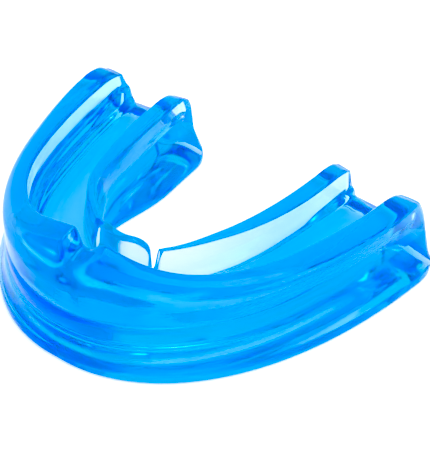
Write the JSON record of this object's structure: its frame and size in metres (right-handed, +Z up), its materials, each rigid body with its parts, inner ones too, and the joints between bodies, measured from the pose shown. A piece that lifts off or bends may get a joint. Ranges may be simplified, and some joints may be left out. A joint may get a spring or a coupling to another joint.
{
  "type": "mouthguard",
  "caption": "Translucent blue gel sports mouthguard: horseshoe tray with an upper tooth channel, a lower bite recess, a lip frenum notch and a tongue tag.",
  "frame": {"origin": "centre of the footprint, on the surface that the guard rests on", "axes": "+Z up through the upper tooth channel, -Y toward the lips, +Y toward the molars, +X to the right"},
  "size_m": [0.0614, 0.0466, 0.0186],
  "materials": {
    "blue_gel": "glossy"
  },
  "bodies": {
    "root": {"upper_labial_flange": "blue_gel", "left_upper_buccal_flange": "blue_gel", "right_upper_buccal_flange": "blue_gel", "left_upper_lingual_wall": "blue_gel", "right_upper_lingual_wall": "blue_gel", "front_bite_plate": "blue_gel", "left_bite_plate": "blue_gel", "right_bite_plate": "blue_gel", "lower_labial_rim": "blue_gel", "left_lower_buccal_rim": "blue_gel", "right_lower_buccal_rim": "blue_gel", "lower_front_lingual_rim": "blue_gel", "left_lower_lingual_rim": "blue_gel", "right_lower_lingual_rim": "blue_gel", "tongue_tag": "blue_gel"}
  },
  "joints": []
}
